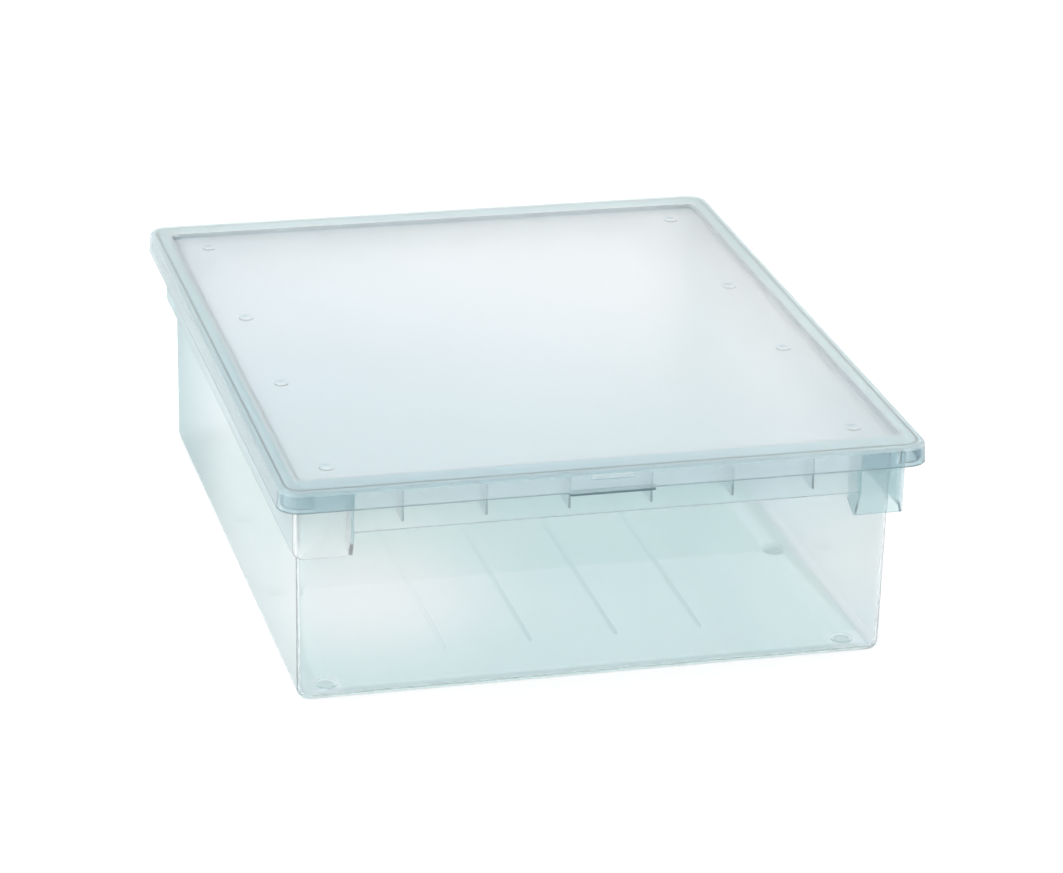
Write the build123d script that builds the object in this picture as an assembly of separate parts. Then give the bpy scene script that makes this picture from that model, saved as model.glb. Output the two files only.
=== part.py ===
from build123d import *
import math
import os

os.makedirs("parts", exist_ok=True)

# Shallow storage box with a lift-off lid, two mouldings in one translucent plastic.
# Lengths are in millimetres. +Z is up, the front faces -Y and the origin is the
# centre of the base. X sizes are across the front and Y sizes run front to back.

# Outside of the lid, measured at the lower edge of its skirt
lid_width = 400.0
lid_length = 482.2
lid_corner_radius = 14.0
overall_height = 147.1
skirt_height = 13.5
skirt_flare = 1.2
lid_edge_radius = 3.0

# Thickness of the moulded sheet
wall = 2.0
floor_wall = 2.2

# Sunken panel of the lid, with round bumps that locate the box stacked above
panel_sink = 3.5
panel_corner_radius = 5.0
panel_edge_radius = 0.8
bump_diameter = 9.0
bump_height = 0.8
bump_across_share = 0.8817
bump_along_shares = (0.2676, 0.898)

# Finger tabs under the skirt, front and back, and the plain grip bar at the front
tab_width = 53.0
tab_hang = 1.2
tab_proud = 1.5
tab_height = 3.2
tab_edge_radius = 0.6
grip_width = 26.0
grip_height = 3.6
grip_proud = 0.6
grip_below_top = 4.4

# Rim of the tub, which fills the channel under the border of the lid
side_gap = 0.7
end_gap = 1.5
step_gap = 0.3
side_crown_width = 8.0
end_crown_width = 13.8
riser_corner_radius = 7.3
lip_drop = 10.1

# Low bead around the top of the rim, on which the border of the lid rests
bead_height = 0.3
bead_width = 1.2
bead_inset = 1.0

# Basin of the tub, which narrows downwards and drops into a lid when stacked
side_stack_gap = 2.2
end_stack_gap = 3.9
basin_lean = 1.26
basin_corner_radius = 8.0
basin_foot_radius = 6.0
floor_edge_radius = 4.0

# Shallow apron that hangs from the rim at the front and back, with webs behind it
apron_drop = 26.7
apron_web_count = 6
apron_web_pitch_share = 0.1626
apron_web_thickness = 1.4
apron_web_foot = 4.1

# Deep apron that hangs along both sides and turns the corners to the shallow one
deep_drop = 44.6
deep_proud = 4.24
deep_corner_radius = 18.0
deep_return = 34.0
knee_height = 17.5
knee_radius = 15.0
knee_lean = 7.4
end_foot_rise = 6.5

# Webs between the deep apron and the lip of the rim
web_thickness = 1.4
web_along_shares = (-0.7185, -0.372, 0.0, 0.372, 0.7185)

# Ribs on the floor, and dimples under it with a boss above each
floor_rib_count = 4
floor_rib_pitch_share = 0.1505
floor_rib_length_share = 0.762
floor_rib_width = 2.0
floor_rib_height = 1.2
dimple_diameter = 10.0
dimple_depth = 1.2

# How far a cutter runs past the face it opens
over = 1.0

# Levels
panel_top = overall_height - panel_sink
panel_under = panel_top - wall
skirt_foot = overall_height - skirt_height
border_under = overall_height - wall
crown_top = border_under - bead_height
crown_under = crown_top - wall
seat_top = panel_under - step_gap
seat_under = seat_top - wall
lip_foot = border_under - lip_drop
apron_foot = border_under - apron_drop
deep_foot = border_under - deep_drop
knee = deep_foot + knee_height

# Half sizes in plan
skirt_slope = skirt_flare / skirt_height
skirt_angle = math.degrees(math.atan(skirt_slope))
lid_x = lid_width / 2
lid_y = lid_length / 2
channel_x = lid_x - skirt_slope * (border_under - skirt_foot) - wall
channel_y = lid_y - skirt_slope * (border_under - skirt_foot) - wall
rim_x = channel_x - side_gap
rim_y = channel_y - end_gap
riser_x = rim_x - side_crown_width
riser_y = rim_y - end_crown_width
step_x = riser_x - step_gap
step_y = riser_y - step_gap
panel_x = step_x - wall
panel_y = step_y - wall
foot_x = panel_x - side_stack_gap
foot_y = panel_y - end_stack_gap
basin_x = foot_x + basin_lean
basin_y = foot_y + basin_lean
rim_corner_radius = lid_corner_radius - wall - side_gap
bump_x = bump_across_share * panel_x
bump_ys = [share * panel_y for share in bump_along_shares]


def plan(half_x, half_y, radius, level):
    return Pos(0, 0, level) * RectangleRounded(2 * half_x, 2 * half_y, radius)


def slab(half_x, half_y, radius, low, high):
    return extrude(plan(half_x, half_y, radius, low), high - low)


def narrowing_up(half_x, half_y, radius, low, high, angle):
    # The half sizes and the corner radius are those at the low end
    return extrude(plan(half_x, half_y, radius, low), high - low, taper=angle)


def narrowing_down(half_x, half_y, radius, low, high, angle):
    # The half sizes and the corner radius are those at the high end
    return mirror(narrowing_up(half_x, half_y, radius, -high, -low, angle), Plane.XY)


def prism_x(outline, low_x, high_x):
    # The outline lies in the YZ plane
    return extrude(Plane.YZ.offset(low_x) * make_face(outline), high_x - low_x)


def box(low, high):
    size = [b - a for a, b in zip(low, high)]
    middle = [(a + b) / 2 for a, b in zip(low, high)]
    return Pos(*middle) * Box(*size)


def front_and_back(shape):
    return shape + mirror(shape, Plane.XZ)


def four_corners(shape):
    ends = front_and_back(shape)
    return ends + mirror(ends, Plane.YZ)


def discs(diameter, low, high):
    spots = [(x, s * y) for x in (-bump_x, bump_x) for y in bump_ys for s in (-1, 1)]
    return [
        Pos(x, y, (low + high) / 2) * Cylinder(diameter / 2, high - low) for x, y in spots
    ]


def front_plane(level):
    # Outer face of the rim and the apron at the front, parallel to the skirt of the lid
    return -rim_y - skirt_slope * (border_under - level)


def skirt_plane(level):
    return -lid_y + skirt_slope * (level - skirt_foot)


# Lid: a flat panel sunk inside a raised border, with a skirt that flares outwards
lid = narrowing_up(lid_x, lid_y, lid_corner_radius, skirt_foot, overall_height, skirt_angle)
lid = fillet(lid.faces().sort_by(Axis.Z)[-1].edges(), lid_edge_radius)
hollow_spread = skirt_slope * over
hollow = narrowing_up(
    lid_x - wall + hollow_spread,
    lid_y - wall + hollow_spread,
    lid_corner_radius - wall + hollow_spread,
    skirt_foot - over,
    border_under,
    skirt_angle,
)
hollow -= slab(step_x, step_y, panel_corner_radius + wall, panel_under, border_under)
lid -= hollow
sunk = slab(panel_x, panel_y, panel_corner_radius, panel_top, overall_height + over)
sunk = fillet(sunk.faces().sort_by(Axis.Z)[0].edges(), panel_edge_radius)
lid -= sunk
for bump in discs(bump_diameter, panel_top - wall / 2, panel_top + bump_height):
    lid += fillet(bump.faces().sort_by(Axis.Z)[-1].edges(), bump_height / 2)

# Finger tab: a ledge along the lower edge of the skirt, rounded at its ends
tab_top = skirt_foot - tab_hang + tab_height
tab = box(
    (-tab_width / 2, skirt_plane(skirt_foot) - tab_proud, skirt_foot - tab_hang),
    (tab_width / 2, skirt_plane(tab_top) + wall / 2, tab_top),
)
tab_ends = tab.edges().filter_by(Axis.Z).group_by(Axis.Y)[0]
tab = fillet(tab_ends, tab_proud)
tab = fillet(tab.faces().sort_by(Axis.Z)[-1].edges().group_by(Axis.Y)[0], tab_edge_radius)
lid += front_and_back(tab)

# Plain grip bar on the front of the skirt
grip_level = overall_height - grip_below_top
grip_face = SlotOverall(grip_width, grip_height)
grip_plane = Plane(
    origin=(0, skirt_plane(grip_level), grip_level),
    x_dir=(1, 0, 0),
    z_dir=(0, -1, skirt_slope),
)
lid += extrude(grip_plane * grip_face, grip_proud) + extrude(grip_plane * grip_face, -wall / 2)

# Tub: basin with its rounded foot
basin_angle = math.degrees(math.atan(basin_lean / seat_top))
basin = narrowing_down(
    basin_x, basin_y, basin_corner_radius + basin_lean, 0, seat_top, basin_angle
)
basin = fillet(basin.faces().sort_by(Axis.Z)[0].edges(), basin_foot_radius)

# Rim: a crown that fits under the border of the lid, and a short outer lip
lip_spread = skirt_slope * lip_drop
rim = narrowing_up(
    rim_x + lip_spread,
    rim_y + lip_spread,
    rim_corner_radius + lip_spread,
    lip_foot,
    crown_top,
    skirt_angle,
)
under_spread = skirt_slope * (lip_drop + over)
rim -= narrowing_up(
    rim_x - wall + under_spread,
    rim_y - wall + under_spread,
    rim_corner_radius - wall + under_spread,
    lip_foot - over,
    crown_under,
    skirt_angle,
)
tub = rim + basin
tub += slab(
    riser_x + wall, riser_y + wall, riser_corner_radius + wall, seat_under, crown_top
)
bead_x = rim_x - bead_inset
bead_y = rim_y - bead_inset
bead_radius = rim_corner_radius - bead_inset
bead = slab(bead_x, bead_y, bead_radius, crown_under, border_under)
bead -= slab(
    bead_x - bead_width,
    bead_y - bead_width,
    bead_radius - bead_width,
    crown_under,
    border_under,
)
tub += bead

# Shallow aprons, each a leaning plate braced by upright webs against the basin
deep_x = basin_x + deep_proud
end_x = deep_x - deep_return
apron_outline = Polyline(
    (front_plane(crown_top), crown_top),
    (front_plane(apron_foot), apron_foot),
    (front_plane(apron_foot) + wall, apron_foot),
    (front_plane(crown_top) + wall, crown_top),
    close=True,
)
apron = prism_x(apron_outline, -end_x - wall, end_x + wall)
web_foot = apron_foot + apron_web_foot
web_outline = Polyline(
    (front_plane(crown_top) + wall / 2, crown_top - wall / 2),
    (front_plane(web_foot) + wall / 2, web_foot),
    (-foot_y, web_foot),
    (-foot_y, crown_top - wall / 2),
    close=True,
)
web_pitch = apron_web_pitch_share * 2 * end_x
for i in range(apron_web_count):
    web_x = (i - (apron_web_count - 1) / 2) * web_pitch
    apron += prism_x(
        web_outline, web_x - apron_web_thickness / 2, web_x + apron_web_thickness / 2
    )
tub += front_and_back(apron)


# Deep apron, open underneath, with ends that lean inwards below the knee
def deep_body(inset, foot):
    knee_y = front_plane(knee) + inset
    foot_y_leaning = knee_y + knee_lean / knee_height * (knee - foot)
    half = FilletPolyline(
        (0, crown_top),
        (front_plane(crown_top) + inset, crown_top),
        (knee_y, knee),
        (foot_y_leaning, foot),
        (0, foot),
        radius=[0, 0, knee_radius, 0, 0],
        close=True,
    )
    block = slab(deep_x - inset, -knee_y, deep_corner_radius - inset, foot, crown_top)
    return block & front_and_back(prism_x(half, -deep_x, deep_x))


deep_outer = deep_body(0, deep_foot)
deep = deep_outer - deep_body(wall, deep_foot - over)
deep -= box((-end_x, -lid_y, deep_foot), (end_x, lid_y, crown_top))
tub += deep

# End walls that close the deep apron against the front and back of the basin
end_wall = deep_outer & box((end_x, -lid_y, deep_foot), (end_x + wall, -foot_y, crown_top))
end_foot_y = front_plane(knee) + knee_lean
foot_wedge = Polyline(
    (end_foot_y, deep_foot),
    (-foot_y, deep_foot + end_foot_rise),
    (-foot_y, deep_foot - over),
    (end_foot_y, deep_foot - over),
    close=True,
)
end_wall -= prism_x(foot_wedge, end_x - over, end_x + wall)
tub += four_corners(end_wall)

# Webs that brace the lip along the sides
for share in web_along_shares:
    web_y = share * rim_y
    web = box(
        (deep_x - wall / 2, web_y - web_thickness / 2, lip_foot),
        (rim_x - wall / 2, web_y + web_thickness / 2, crown_under + wall / 2),
    )
    tub += web + mirror(web, Plane.YZ)

# Inside of the tub: the basin cavity and the well that the panel of the lid sits in
cavity = narrowing_down(
    basin_x - wall,
    basin_y - wall,
    basin_corner_radius + basin_lean - wall,
    floor_wall,
    seat_top,
    basin_angle,
)
cavity = fillet(cavity.faces().sort_by(Axis.Z)[0].edges(), floor_edge_radius)
tub -= cavity
tub -= slab(riser_x, riser_y, riser_corner_radius, seat_top, crown_top + over)

# Floor ribs, and the dimples that take the bumps of a lid below
floor_x = foot_x - wall
floor_y = foot_y - wall
floor_rib_pitch = floor_rib_pitch_share * 2 * floor_x
floor_rib_half = floor_rib_length_share * floor_y
for i in range(floor_rib_count):
    rib_x = (i - (floor_rib_count - 1) / 2) * floor_rib_pitch
    tub += box(
        (rib_x - floor_rib_width / 2, -floor_rib_half, floor_wall / 2),
        (rib_x + floor_rib_width / 2, floor_rib_half, floor_wall + floor_rib_height),
    )
boss_diameter = dimple_diameter + 2 * wall
for boss in discs(boss_diameter, floor_wall / 2, floor_wall + dimple_depth):
    tub += boss
for dimple in discs(dimple_diameter, -over, dimple_depth):
    tub -= dimple

for name, shape in {"tub": tub, "lid": lid}.items():
    solids = shape.solids()
    print(name, len(solids), "solid,", round(shape.volume), "cubic mm")
    export_step(solids[0], f"parts/{name}.step")
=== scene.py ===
# %% [markdown]
# A translucent storage box with a lift-off lid, photographed on white. The box is already built as two
# CAD solids, the tub and the lid, and their shapes stay as they are. So this lesson is about two things:
# the light of a product photograph, and milky moulded plastic. First the frame is loaded, and the size
# of the CAD box stays as it is. The dressed box must not outgrow it.

import math

import bpy
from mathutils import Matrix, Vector

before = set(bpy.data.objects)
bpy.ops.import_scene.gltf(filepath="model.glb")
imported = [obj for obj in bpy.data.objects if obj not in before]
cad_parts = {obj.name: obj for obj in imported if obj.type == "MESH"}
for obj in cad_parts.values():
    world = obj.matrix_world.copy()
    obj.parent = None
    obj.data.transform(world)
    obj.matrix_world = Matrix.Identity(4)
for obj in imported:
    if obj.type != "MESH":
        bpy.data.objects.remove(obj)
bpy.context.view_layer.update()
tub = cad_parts["tub"]
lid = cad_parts["lid"]
mm_in_metre = 1000

# %% [markdown]
# The picture is taken from a little above and a little to the left of the front. The camera could be
# aimed by eye, but it was fitted to the outlines of the lid and the base, so its place, turn and lens
# are given outright. The fit came out with a roll of a degree and a half, and that is kept.

# %% Camera
camera_place = (-0.5993, -2.2854, 1.03206)
camera_turn_degrees = (67.879, -1.3976, -14.4527)
camera_lens = 132.325
sensor_width = 36

camera_data = bpy.data.cameras.new("camera")
camera_data.sensor_fit = "HORIZONTAL"
camera_data.sensor_width = sensor_width
camera_data.lens = camera_lens
camera_data.dof.use_dof = False
camera = bpy.data.objects.new("camera", camera_data)
camera.location = camera_place
camera.rotation_euler = [math.radians(angle) for angle in camera_turn_degrees]
bpy.context.scene.collection.objects.link(camera)
bpy.context.scene.camera = camera
print("camera lens in mm:", camera_lens)

# %% [markdown]
# The picture shows the box on pure white, with hardly a shadow. A very strong lamp on white paper could
# do that, but it would light the plastic as strongly. Paper lit from behind does it as well, so the
# floor here glows a little by itself and catches the light too. What is seen through the plastic is then
# this bright paper, and the plastic is what makes it darker.

# %% Floor
floor_size = 12
white = (1, 1, 1, 1)
paper_colour = (0.45, 0.45, 0.45, 1)
paper_roughness = 0.9
paper_glow = 0.65

bpy.ops.object.select_all(action="DESELECT")
bpy.ops.mesh.primitive_plane_add(size=floor_size, location=(0, 0, 0))
floor = bpy.context.object
floor.name = "floor"

paper = bpy.data.materials.new("white_paper")
paper.use_nodes = True
paper_shader = paper.node_tree.nodes["Principled BSDF"]
paper_shader.inputs["Base Color"].default_value = paper_colour
paper_shader.inputs["Roughness"].default_value = paper_roughness
paper_shader.inputs["Emission Color"].default_value = white
paper_shader.inputs["Emission Strength"].default_value = paper_glow
floor.data.materials.append(paper)
print("floor, metres across:", floor_size)

# %% [markdown]
# How the real box was lit is not known. Here three soft boxes light it: one high on the left, one low on
# the right and a wide weak one overhead. They could be lamps, but a ray aimed straight at a lamp is
# stopped by the plastic, and one that finds it by chance is rare, which leaves grain. Every ray that
# leaves the box meets the surroundings, so the soft boxes are painted on them as bright round glows.
# Each glow has a direction, a strength and a sharpness: the higher the sharpness, the smaller the soft
# box. Such a pattern is made of small sums, each a node, so the first helper makes a node for one sum.

# %% Surroundings with soft boxes
wall_light = 0.7
soft_boxes = (
    ((-1, -0.2, 0.75), 8, 40),
    ((1, 0.2, 0.3), 4, 40),
    ((0, 0.3, 1), 0.3, 3),
)


def calculate(tree, operation, *values):
    """A Math node. Each value is a number or the output of another node."""
    step = tree.nodes.new("ShaderNodeMath")
    step.operation = operation
    for socket, value in zip(step.inputs, values):
        if isinstance(value, (int, float)):
            socket.default_value = value
        else:
            tree.links.new(value, socket)
    return step.outputs[0]


def soft_box(tree, look, direction, sharpness):
    """1 in the middle of a soft box and 0 far from it, for a look in any direction."""
    facing = tree.nodes.new("ShaderNodeVectorMath")
    facing.operation = "DOT_PRODUCT"
    facing.inputs[1].default_value = Vector(direction).normalized()
    tree.links.new(look, facing.inputs[0])
    front = calculate(tree, "MAXIMUM", facing.outputs["Value"], 0)
    return calculate(tree, "POWER", front, sharpness)


world = bpy.data.worlds.new("studio")
world.use_nodes = True
world_tree = world.node_tree
world_look = world_tree.nodes.new("ShaderNodeTexCoord").outputs["Generated"]
world_brightness = wall_light
for direction, strength, sharpness in soft_boxes:
    glow = soft_box(world_tree, world_look, direction, sharpness)
    world_brightness = calculate(world_tree, "MULTIPLY_ADD", glow, strength, world_brightness)
world_tree.links.new(world_brightness, world_tree.nodes["Background"].inputs["Strength"])
world_tree.nodes["Background"].inputs["Color"].default_value = white
bpy.context.scene.world = world
print("soft boxes in the surroundings:", len(soft_boxes))

# %% [markdown]
# One wide lamp hangs overhead and adds a soft light from above. The render keeps its colours as they
# are, without a film look, because the paper has to come out pure white. A ray may cross many sheets of
# plastic on its way, each with two faces, so it is followed further than usual.

# %% Overhead lamp and ray depth
lamp_place = (0, 0.3, 2.0)
lamp_aim = (0, 0, 0.1)
lamp_size = 1.5
lamp_power = 12
face_crossings = 24

lamp_data = bpy.data.lights.new("overhead", "AREA")
lamp_data.shape = "SQUARE"
lamp_data.size = lamp_size
lamp_data.energy = lamp_power
lamp = bpy.data.objects.new("overhead", lamp_data)
lamp.location = lamp_place
lamp.rotation_euler = (Vector(lamp_aim) - Vector(lamp_place)).to_track_quat("-Z", "Y").to_euler()
bpy.context.scene.collection.objects.link(lamp)

bpy.context.scene.view_settings.view_transform = "Standard"
bpy.context.scene.cycles.max_bounces = face_crossings
bpy.context.scene.cycles.transmission_bounces = face_crossings
bpy.context.scene.cycles.transparent_max_bounces = face_crossings
print("overhead lamp in watts:", lamp_power)

# %% [markdown]
# Both mouldings are one plastic: clear enough to see through, with a milky haze and a faint teal tint.
# It could be glass with a coat of paint, but a real sheet darkens with its thickness and with each sheet
# behind it. So a part of the tint sits in the volume as absorption. The rest is in the surface, where it
# can change by place, and the surface also blurs and adds the haze. Slow clouds in haze and gloss
# imitate the flow of the melt, and a very low ripple keeps reflections from being perfect.

# %% The moulded plastic
lid_absorption = (0.20, 0.62, 0.70)
lid_density = 12
tub_absorption = (0.20, 0.64, 0.70)
tub_density = 28
plastic_ior = 1.3
ripple_size = 0.012
ripple_height = 0.00003
cloud_detail = 2


def clouds(tree, places, size):
    """Soft noise with blotches about size metres across, between 0 and 1."""
    step = tree.nodes.new("ShaderNodeTexNoise")
    step.inputs["Scale"].default_value = 1 / size
    step.inputs["Detail"].default_value = cloud_detail
    tree.links.new(places, step.inputs["Vector"])
    return step.outputs["Fac"]


def start_plastic(name, absorption_tint, absorption_density):
    """A material with the plastic's absorption and its ripple. Its tint, haze and gloss come later."""
    plastic = bpy.data.materials.new(name)
    plastic.use_nodes = True
    tree = plastic.node_tree
    shader = tree.nodes["Principled BSDF"]
    shader.inputs["IOR"].default_value = plastic_ior
    absorption = tree.nodes.new("ShaderNodeVolumeAbsorption")
    absorption.inputs["Color"].default_value = (*absorption_tint, 1)
    absorption.inputs["Density"].default_value = absorption_density
    tree.links.new(absorption.outputs[0], tree.nodes["Material Output"].inputs["Volume"])
    places = tree.nodes.new("ShaderNodeTexCoord").outputs["Object"]
    ripple = tree.nodes.new("ShaderNodeBump")
    ripple.inputs["Distance"].default_value = ripple_height
    tree.links.new(clouds(tree, places, ripple_size), ripple.inputs["Height"])
    tree.links.new(ripple.outputs["Normal"], shader.inputs["Normal"])
    return plastic, tree, shader, places


lid_plastic, lid_tree, lid_shader, lid_places = start_plastic("lid_plastic", lid_absorption, lid_density)
tub_plastic, tub_tree, tub_shader, tub_places = start_plastic("tub_plastic", tub_absorption, tub_density)
print("plastics started:", lid_plastic.name, tub_plastic.name)

# %% [markdown]
# In the picture the plastic is not the same all over: it is deeper on the border of the lid and paler on
# its panel, for one. Some of that is the plastic and some is the light that fell on it, and the two
# can't be told apart there. Each part could get a material of its own, but a moulding has one, so its
# tint changes by place instead. A place is a share between 0 and 1, worked out from the Object
# coordinates, which are metres in the frame of the box. So it can say "outside the panel" or "below the
# edge" in sizes taken from the CAD, most of them with a little room to spare.

# %% Helpers for places
def split(tree, places):
    """The x, y and z of places."""
    step = tree.nodes.new("ShaderNodeSeparateXYZ")
    tree.links.new(places, step.inputs[0])
    return step.outputs


def fade(tree, value, start, end):
    """0 up to start, 1 from end on, and a smooth change between. With end under start it falls."""
    step = tree.nodes.new("ShaderNodeMapRange")
    step.interpolation_type = "SMOOTHSTEP"
    tree.links.new(value, step.inputs["Value"])
    step.inputs["From Min"].default_value = min(start, end)
    step.inputs["From Max"].default_value = max(start, end)
    step.inputs["To Min"].default_value = float(end < start)
    step.inputs["To Max"].default_value = float(end > start)
    return step.outputs["Result"]


def overlap(tree, share, *others):
    """Where places overlap: 1 only where every share is 1."""
    for other in others:
        share = calculate(tree, "MULTIPLY", share, other)
    return share


def near(tree, places, centre, radius):
    """1 at a centre, falling softly to 0 at the radius."""
    step = tree.nodes.new("ShaderNodeVectorMath")
    step.operation = "DISTANCE"
    step.inputs[1].default_value = centre
    tree.links.new(places, step.inputs[0])
    return fade(tree, step.outputs["Value"], radius, 0)


lid_x, lid_y, lid_z = split(lid_tree, lid_places)
lid_across = calculate(lid_tree, "ABSOLUTE", lid_x)
lid_along = calculate(lid_tree, "ABSOLUTE", lid_y)
tub_x, tub_y, tub_z = split(tub_tree, tub_places)
tub_across = calculate(tub_tree, "ABSOLUTE", tub_x)
tub_along = calculate(tub_tree, "ABSOLUTE", tub_y)
print("nodes for places so far:", len(lid_tree.nodes), len(tub_tree.nodes))

# %% [markdown]
# The lid is palest on its thin panel. Its border looks much deeper, most likely because the rim, the lip
# and the seat of the tub lie under it. They darken it in the render too, and a tint outside the panel
# gives the rest. In the picture both brighten from the front left corner to the far one, which looks
# like the light of the room. Two fades in the tint stand in for it, and they stay with the lid wherever
# it is seen from. An upright step, the riser, joins panel and border. At the back it came out too dark,
# so it is kept palest there.

# %% Panel, border and riser of the lid
panel_half_width = 0.186
panel_half_length = 0.2205
line_width = 0.0006
riser_reach = 0.0023
border_fade_start, border_fade_end = -0.32, 0.12
panel_fade_start, panel_fade_end = -0.3, 0.3

past_side = calculate(lid_tree, "SUBTRACT", lid_across, panel_half_width)
past_end = calculate(lid_tree, "SUBTRACT", lid_along, panel_half_length)
past_panel = calculate(lid_tree, "MAXIMUM", past_side, past_end)
on_border = fade(lid_tree, past_panel, 0, line_width)
diagonal = calculate(lid_tree, "ADD", lid_x, lid_y)
border_far = fade(lid_tree, diagonal, border_fade_start, border_fade_end)
panel_far = fade(lid_tree, diagonal, panel_fade_start, panel_fade_end)
in_riser_reach = fade(lid_tree, past_panel, riser_reach + line_width, riser_reach)
on_riser = overlap(lid_tree, on_border, in_riser_reach)
at_back_end = fade(lid_tree, lid_y, panel_half_length - line_width, panel_half_length)
on_back_riser = overlap(lid_tree, on_riser, at_back_end)
panel_sides = [round(2 * half * mm_in_metre) for half in (panel_half_width, panel_half_length)]
print("panel in mm:", panel_sides)

# %% [markdown]
# The skirt is the short flared edge of the lid. In the picture it is deepest at the front corners, where
# the corner blocks of the tub stand behind it, and most of all at the right end. The sheets behind it
# give a part of that, and tints by place give the rest; the deeper tint at the right end is painted
# shade. A moulded edge is seen along the sheet and looks dark, so the foot of the skirt gets a darker
# line.

# %% Skirt of the lid
skirt_top = 0.1441
skirt_foot = 0.1336
side_skirt_place = 0.1955
end_wall_place = 0.1553
right_end_start, right_end_end = 0.178, 0.19

on_skirt = overlap(lid_tree, on_border, fade(lid_tree, lid_z, skirt_top, skirt_top - line_width))
past_side_skirt = fade(lid_tree, lid_across, side_skirt_place, side_skirt_place + line_width)
on_side_skirt = overlap(lid_tree, on_skirt, past_side_skirt)
past_end_wall = fade(lid_tree, lid_across, end_wall_place, end_wall_place + line_width)
at_corner = overlap(lid_tree, on_skirt, past_end_wall)
at_right_end = fade(lid_tree, lid_x, right_end_start, right_end_end)
at_skirt_foot = fade(lid_tree, lid_z, skirt_foot + line_width, skirt_foot)
print("straight part of the skirt in mm:", round((skirt_top - skirt_foot) * mm_in_metre, 1))

# %% [markdown]
# Eight round bumps on the panel are taken to keep a second box from sliding. In the picture they show as
# light and dark dashes. The bumps are in the CAD, and a sharper lamp could draw the dashes, but it would
# mark the rest of the lid too. So each bump gets a small pale spot in front of its middle and a deep one
# behind. They stand in for a highlight and a shade, and don't move with the light. The sides mirror each
# other, so one row is described, and x is folded over to make it do for both.

# %% Stacking bumps of the lid
bump_across = 0.164
bump_alongs = (-0.198, -0.0595, 0.0595, 0.198)
bump_height = 0.144
bump_shift = 0.0036
bump_reach = 0.005

folded = lid_tree.nodes.new("ShaderNodeCombineXYZ")
for socket, value in zip(folded.inputs, (lid_across, lid_y, lid_z)):
    lid_tree.links.new(value, socket)


def on_bumps(shift):
    """1 on each stacking bump, at a spot shifted along the lid from its middle."""
    spots = [
        near(lid_tree, folded.outputs[0], (bump_across, bump_along + shift, bump_height), bump_reach)
        for bump_along in bump_alongs
    ]
    total = spots[0]
    for spot in spots[1:]:
        total = calculate(lid_tree, "MAXIMUM", total, spot)
    return total


on_bump_front = on_bumps(-bump_shift)
on_bump_back = on_bumps(bump_shift)
print("stacking bumps:", 2 * len(bump_alongs))

# %% [markdown]
# A finger tab stands out from the foot of the skirt at the front, and by guess at the back, and above
# the front one is a plain grip bar. Both are in the CAD and nearly vanish in the see-through plastic, as
# in the picture, where only a dark line under the tab and a pale bar over a thin line are left. Separate
# strips could draw them, but tints by place do it without adding anything to the lid. The dark line
# under the tab and the thin line under the bar are painted shade.

# %% Finger tabs and grip bar of the lid
tab_half_width = 0.0267
tab_start_along = 0.2409
grip_half_width = 0.0132
grip_low, grip_high = 0.1408, 0.1446
grip_face = 0.2407

# The dark line under the tab is painted shade.
at_tab_foot = overlap(
    lid_tree,
    fade(lid_tree, lid_across, tab_half_width, tab_half_width - line_width),
    fade(lid_tree, lid_along, tab_start_along, tab_start_along + line_width),
    at_skirt_foot,
)
on_grip = overlap(
    lid_tree,
    fade(lid_tree, lid_across, grip_half_width, grip_half_width - line_width),
    fade(lid_tree, lid_along, grip_face - line_width, grip_face),
    fade(lid_tree, lid_z, grip_low, grip_low + line_width),
    fade(lid_tree, lid_z, grip_high, grip_high - line_width),
)
# The thin dark line under the grip bar is painted shade.
above_grip_foot, grip_foot = grip_low + 2 * line_width, grip_low + line_width
at_grip_foot = overlap(lid_tree, on_grip, fade(lid_tree, lid_z, above_grip_foot, grip_foot))
print("finger tab with room to spare, mm wide:", round(2 * tab_half_width * mm_in_metre, 1))

# %% [markdown]
# Now the places of the lid get their tints. A tint is the linear colour that one sheet lets through.
# They could be mixed in one long sum, but they are easier to follow as coats of paint: each coat covers
# its own place, and the later one lies on top. The panel comes first: a fade from deep to clear, and the
# spots of the bumps.

# %% Tint of the lid's panel
panel_tint = (0.84, 0.90, 0.935)
far_panel_tint = (1.0, 1.0, 1.0)
bump_back_tint = (0.66, 0.76, 0.80)
bump_front_tint = (1.0, 1.0, 1.0)


def paint(tree, tint, *coats):
    """Lays coats over a tint. Each coat is a share and a tint: a colour, or the output of a node."""
    for share, coat in coats:
        step = tree.nodes.new("ShaderNodeMix")
        step.data_type = "RGBA"
        tree.links.new(share, step.inputs["Factor"])
        for name, value in (("A", tint), ("B", coat)):
            socket = [s for s in step.inputs if s.name == name and s.type == "RGBA"][0]
            if isinstance(value, tuple):
                socket.default_value = (*value, 1)
            else:
                tree.links.new(value, socket)
        tint = [s for s in step.outputs if s.type == "RGBA"][0]
    return tint


lid_panel = paint(
    lid_tree,
    panel_tint,
    (panel_far, far_panel_tint),
    (on_bump_back, bump_back_tint),
    (on_bump_front, bump_front_tint),
)
print("nodes with the panel's tint:", len(lid_tree.nodes))

# %% [markdown]
# The border, the skirt and all that hangs on it are painted in the same way, from the broad coat to the
# fine lines: border, riser, skirt, corners, foot, tab and grip bar. They could be painted straight over
# the panel, but then each line would need the edge of the panel too. So the border is painted apart, and
# the two are joined once, at that edge.

# %% Tint of the lid's border and skirt
border_tint = (0.74, 0.88, 0.915)
far_border_tint = (0.91, 1.0, 1.0)
riser_tint = (0.92, 0.97, 0.98)
back_riser_tint = (1.0, 1.0, 1.0)
skirt_tint = (0.90, 0.965, 0.985)
side_skirt_tint = (0.70, 0.84, 0.88)
corner_tint = (0.68, 0.81, 0.85)
right_corner_shade_tint = (0.49, 0.62, 0.665)
foot_tint = (0.45, 0.58, 0.61)
tab_shade_tint = (0.25, 0.34, 0.36)
grip_tint = (0.93, 0.98, 0.99)
grip_shade_tint = (0.55, 0.67, 0.71)

# The right end of the skirt gets a deeper tint, which is painted shade.
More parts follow.
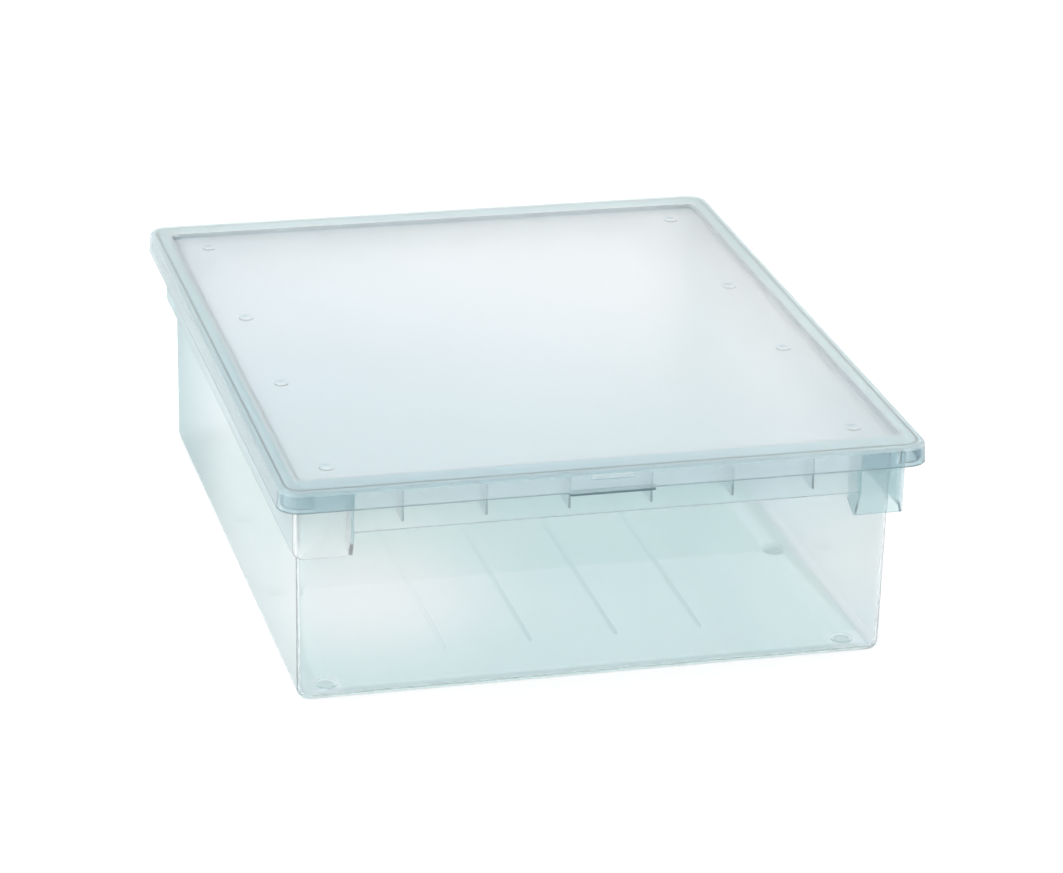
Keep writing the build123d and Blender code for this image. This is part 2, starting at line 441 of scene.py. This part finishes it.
lid_corner = paint(lid_tree, corner_tint, (at_right_end, right_corner_shade_tint))
lid_border = paint(
    lid_tree,
    border_tint,
    (border_far, far_border_tint),
    (on_riser, riser_tint),
    (on_back_riser, back_riser_tint),
    (on_skirt, skirt_tint),
    (on_side_skirt, side_skirt_tint),
    (at_corner, lid_corner),
    (at_skirt_foot, foot_tint),
    (at_tab_foot, tab_shade_tint),
    (on_grip, grip_tint),
    (at_grip_foot, grip_shade_tint),
)
lid_tint = paint(lid_tree, lid_panel, (on_border, lid_border))
lid_tree.links.new(lid_tint, lid_shader.inputs["Base Color"])
print("nodes in the lid's plastic:", len(lid_tree.nodes))

# %% [markdown]
# The panel of the lid is satin, so what lies in the box shows only as a blur, and its skirt is clearer
# and glossier. The haze could be a white veil on top, but here it is the share of light that the surface
# scatters back instead of letting it through. Real plastic scatters inside, and both ways, so this is a
# stand-in. Slow clouds change both a little. The grip bar and the step at the back are a touch hazier,
# which makes them lighter.

# %% Haze and gloss of the lid
flow_size = 0.12
lid_clear, lid_clear_clouds = 0.66, 0.06
lid_rough, lid_rough_clouds = 0.27, 0.06
skirt_clearer = 0.12
skirt_smoother = 0.14
grip_haze = 0.08
back_riser_haze = 0.06


def adjust(tree, amount, *changes):
    """An amount that changes by place. A change is its share and what it adds where the share is 1."""
    for share, change in changes:
        amount = calculate(tree, "MULTIPLY_ADD", share, change, amount)
    return amount


lid_flow = clouds(lid_tree, lid_places, flow_size)
lid_clearness = adjust(
    lid_tree,
    lid_clear,
    (lid_flow, lid_clear_clouds),
    (on_skirt, skirt_clearer),
    (on_grip, -grip_haze),
    (on_back_riser, -back_riser_haze),
)
lid_tree.links.new(lid_clearness, lid_shader.inputs["Transmission Weight"])
lid_roughness = adjust(lid_tree, lid_rough, (lid_flow, lid_rough_clouds), (on_skirt, -skirt_smoother))
lid_tree.links.new(lid_roughness, lid_shader.inputs["Roughness"])
lid_clearest = lid_clear + lid_clear_clouds + skirt_clearer
lid_haziest = lid_clear - back_riser_haze
print("lid lets through, least and most:", round(lid_haziest, 2), round(lid_clearest, 2))

# %% [markdown]
# The aprons hang under the rim of the tub, outside its basin, and turn its corners as deep blocks. A
# line a little outside the basin parts the two. In the picture they look a little deeper and hazier than
# the walls, and the front left block looks almost white, so they are given that. The white of the front
# left block is painted light. They could be left to the light, but it did not bring out these
# differences. The back apron is not seen. It is deeper here only to soften the level line that its
# mirror image draws in the floor.

# %% Aprons and corner blocks of the tub
apron_start_across = 0.1864
apron_start_along = 0.2192

beyond_side = calculate(tub_tree, "SUBTRACT", tub_across, apron_start_across)
beyond_end = calculate(tub_tree, "SUBTRACT", tub_along, apron_start_along)
beyond_basin = calculate(tub_tree, "MAXIMUM", beyond_side, beyond_end)
under_rim = fade(tub_tree, tub_z, skirt_foot + line_width, skirt_foot)
on_apron = overlap(tub_tree, fade(tub_tree, beyond_basin, 0, line_width), under_rim)
tub_past_end_wall = fade(
    tub_tree,
    tub_across,
    end_wall_place - 2 * line_width,
    end_wall_place - line_width,
)
on_block = overlap(tub_tree, on_apron, tub_past_end_wall)
on_back_half = fade(tub_tree, tub_y, -line_width, line_width)
on_side_apron = overlap(
    tub_tree,
    fade(tub_tree, beyond_side, 0, line_width),
    fade(tub_tree, beyond_end, 0, -line_width),
)
front_edge = -apron_start_along
on_front_left = overlap(
    tub_tree,
    fade(tub_tree, tub_x, line_width, -line_width),
    fade(tub_tree, tub_y, front_edge + 2 * line_width, front_edge - 2 * line_width),
)
apron_starts = [round(start * mm_in_metre, 1) for start in (apron_start_across, apron_start_along)]
print("aprons start at mm from the middle:", apron_starts)

# %% [markdown]
# In the picture the side walls of the tub deepen towards the back, and the right one, seen from inside
# through the front wall, is paler. The flat angle at which they are seen gives a part of that, and a
# tint
# gives the rest: painted shade that deepens towards the back, and painted light on the right wall. A
# sheet of coloured glass outside each wall could give it too, but a tint needs no extra piece.

# %% Side walls of the tub
side_wall_start, side_wall_end = 0.174, 0.182
deepening_start, deepening_end = -0.02, 0.24

on_side_wall = fade(tub_tree, tub_across, side_wall_start, side_wall_end)
on_right = fade(tub_tree, tub_x, -line_width, line_width)
towards_back = fade(tub_tree, tub_y, deepening_start, deepening_end)
on_side_shade = overlap(tub_tree, on_side_wall, towards_back)
print("side walls deepen over mm:", round((deepening_end - deepening_start) * mm_in_metre))

# %% [markdown]
# The floor carries four low ribs from front to back, and a boss over the dimple at each bump's place.
# The picture shows three ribs as fine dark lines that fade towards the back. The place of the leftmost
# one is lost in a glow, so that rib gets no tint, and the floor has a spot of painted light there. The
# ribs are in the CAD, and a tint on their tops brings the lines out. The four corners of the floor get a
# tint of their own, so that the bosses there stand out neither as dark rings nor as pale patches. The
# four bosses between them have the floor's tint.

# %% Floor, ribs and bosses of the tub
rib_foot, rib_top = 0.0024, 0.0036
rib_half_reach = 0.168
rib_fade_start, rib_fade_end = -0.15, 0.12
rib_tint_start, rib_tint_end = -0.065, -0.045
corner_zone_across, corner_zone_along = 0.155, 0.188
lit_spot_place = (-0.115, -0.075, 0)
lit_spot_radius = 0.135

on_floor = overlap(
    tub_tree,
    fade(tub_tree, tub_z, rib_top + 2 * line_width, rib_top + line_width),
    fade(tub_tree, tub_across, side_wall_end, side_wall_start),
)
# A spot of painted light on the floor, where the glow falls.
in_lit_spot = near(tub_tree, tub_places, lit_spot_place, lit_spot_radius)
on_rib = overlap(
    tub_tree,
    on_floor,
    fade(tub_tree, tub_z, rib_foot, rib_foot + line_width),
    fade(tub_tree, tub_along, rib_half_reach + line_width, rib_half_reach),
    calculate(tub_tree, "SUBTRACT", 1, in_lit_spot),
    fade(tub_tree, tub_x, rib_tint_start, rib_tint_end),
    fade(tub_tree, tub_y, rib_fade_end, rib_fade_start),
)
at_floor_corner = overlap(
    tub_tree,
    fade(tub_tree, tub_across, corner_zone_across - line_width, corner_zone_across + line_width),
    fade(tub_tree, tub_along, corner_zone_along - line_width, corner_zone_along + line_width),
)
print("clear spot on the floor, mm across:", round(2 * lit_spot_radius * mm_in_metre))

# %% [markdown]
# Two soft glows lie on the front wall of the picture. Lamps could throw them, but they would also light
# the lid, so two milky patches of painted light in the wall hint at them. They stand in for light and
# stay with the wall. At the foot of the front and back walls the rounded edge is drawn as a thin pale
# line, a painted highlight, by a paler tint, more haze and a rougher surface.

# %% Milky patches of painted light and painted highlight at the foot of the tub
lit_milky_patches = (
    ((-0.140, -0.218, 0.085), 0.11),
    ((0.165, -0.218, 0.070), 0.08),
)
foot_half_length = 0.2105
foot_height = 0.003

in_lit_milky_patch = calculate(
    tub_tree,
    "MAXIMUM",
    *[near(tub_tree, tub_places, place, radius) for place, radius in lit_milky_patches],
)
at_foot = overlap(
    tub_tree,
    fade(tub_tree, tub_along, foot_half_length, foot_half_length + line_width),
    fade(tub_tree, tub_z, foot_height + line_width, foot_height),
)
print("milky patches:", len(lit_milky_patches))

# %% [markdown]
# The tub is painted as the lid is: floor and shell apart, each in coats, and joined last. The floor is
# seen through the front wall, at a flat angle, and looks deeper than the walls. Thicker plastic would
# give that too, but the thickness belongs to the CAD, so the floor gets a deeper tint. The spot of
# painted light in it stands in for the glow of the picture and stays with the floor.

# %% Tint of the tub's floor
floor_tint = (0.71, 0.865, 0.83)
lit_spot_tint = (1.0, 1.0, 1.0)
rib_tint = (0.50, 0.68, 0.68)
floor_corner_tint = (0.84, 0.93, 0.915)

tub_bottom = paint(
    tub_tree,
    floor_tint,
    (in_lit_spot, lit_spot_tint),
    (on_rib, rib_tint),
    (at_floor_corner, floor_corner_tint),
)
print("nodes with the floor's tint:", len(tub_tree.nodes))

# %% [markdown]
# The walls, aprons and blocks of the tub come next. Side walls, aprons and blocks are each mixed first,
# because each has a left and a right or a front and a back of its own, and are then laid on the front
# and back walls. The deepening of the side walls lies on top, because it runs over the aprons as well.

# %% Tint of the tub's walls and aprons
wall_tint = (0.93, 0.96, 0.995)
left_side_tint = (0.87, 0.925, 0.935)
right_side_light_tint = (0.95, 0.975, 0.98)
back_side_shade_tint = (0.37, 0.585, 0.615)
apron_tint = (0.86, 0.935, 0.945)
back_apron_tint = (0.50, 0.66, 0.70)
block_tint = (0.76, 0.88, 0.90)
left_block_light_tint = (1.0, 1.0, 1.0)
side_apron_tint = (0.66, 0.79, 0.82)
patch_light_tint = (1.0, 1.0, 1.0)
foot_highlight_tint = (0.97, 0.99, 0.99)

# The right side wall gets a paler tint, which is painted light.
side_walls = paint(tub_tree, left_side_tint, (on_right, right_side_light_tint))
aprons = paint(tub_tree, apron_tint, (on_back_half, back_apron_tint))
# The front left block gets a white tint, which is painted light.
blocks = paint(tub_tree, block_tint, (on_front_left, left_block_light_tint), (on_side_apron, side_apron_tint))
tub_shell = paint(
    tub_tree,
    wall_tint,
    (on_side_wall, side_walls),
    (on_apron, aprons),
    # The milky patches are painted light.
    (in_lit_milky_patch, patch_light_tint),
    (on_block, blocks),
    # painted shade, deepening towards the back of the side walls
    (on_side_shade, back_side_shade_tint),
)
# The pale foot line is a painted highlight.
tub_tint = paint(tub_tree, tub_shell, (on_floor, tub_bottom), (at_foot, foot_highlight_tint))
tub_tree.links.new(tub_tint, tub_shader.inputs["Base Color"])
print("nodes in the tub's plastic:", len(tub_tree.nodes))

# %% [markdown]
# The tub is the clearer and glossier of the two, and the ribs of its floor show through its walls. It
# gets its clouds, haze and gloss as the lid does, with a little more haze on the aprons and in the milky
# patches of painted light. The line at its foot, a painted highlight, is the haziest and the roughest,
# so it stays pale instead of mirroring the room.

# %% Haze and gloss of the tub
tub_clear, tub_clear_clouds = 0.84, 0.05
tub_rough, tub_rough_clouds = 0.06, 0.05
apron_haze = 0.04
patch_haze = 0.07
foot_haze = 0.2
foot_blur = 0.25

tub_flow = clouds(tub_tree, tub_places, flow_size)
tub_clearness = adjust(
    tub_tree,
    tub_clear,
    (tub_flow, tub_clear_clouds),
    (on_apron, -apron_haze),
    (in_lit_milky_patch, -patch_haze),
    (at_foot, -foot_haze),
)
tub_tree.links.new(tub_clearness, tub_shader.inputs["Transmission Weight"])
tub_roughness = adjust(tub_tree, tub_rough, (tub_flow, tub_rough_clouds), (at_foot, foot_blur))
tub_tree.links.new(tub_roughness, tub_shader.inputs["Roughness"])
tub_haziest, tub_clearest = tub_clear - foot_haze, tub_clear + tub_clear_clouds
print("tub lets through, about least and most:", round(tub_haziest, 2), round(tub_clearest, 2))

# %% [markdown]
# The CAD gave each moulding a plain material in its slot. The mesh stays as it is, and only the slot
# gets the finished plastic, so the record's names of slots and pieces still hold.

# %% Give each moulding its plastic
for moulding, plastic in ((tub, tub_plastic), (lid, lid_plastic)):
    for slot in moulding.material_slots:
        slot.material = plastic
    print(moulding.name, "faces:", len(moulding.data.polygons))
